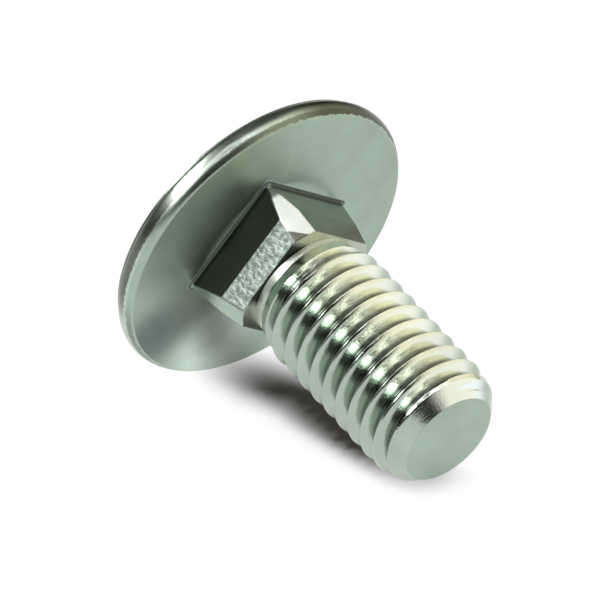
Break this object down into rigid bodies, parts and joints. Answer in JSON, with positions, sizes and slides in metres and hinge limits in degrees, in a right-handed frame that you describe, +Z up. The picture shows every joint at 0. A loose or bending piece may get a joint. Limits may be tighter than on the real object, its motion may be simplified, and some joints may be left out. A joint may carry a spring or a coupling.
{
  "type": "carriage bolt",
  "caption": "Short zinc-plated bolt with a wide domed head, a square neck that locks it against turning, and a coarse right-hand thread with a chamfered tip.",
  "frame": {"origin": "on the floor, under the middle of the bolt's box as it lies on the rim of its head and the last crest of its thread", "axes": "+X along the lying bolt from head to tip, +Z up, +Y to the left of its tip"},
  "size_m": [0.0278, 0.024, 0.0228],
  "materials": {
    "zinc_steel": "bright zinc plating, satin under the head and polished on the thread"
  },
  "bodies": {
    "root": {"carriage_bolt": "zinc_steel"}
  },
  "joints": []
}
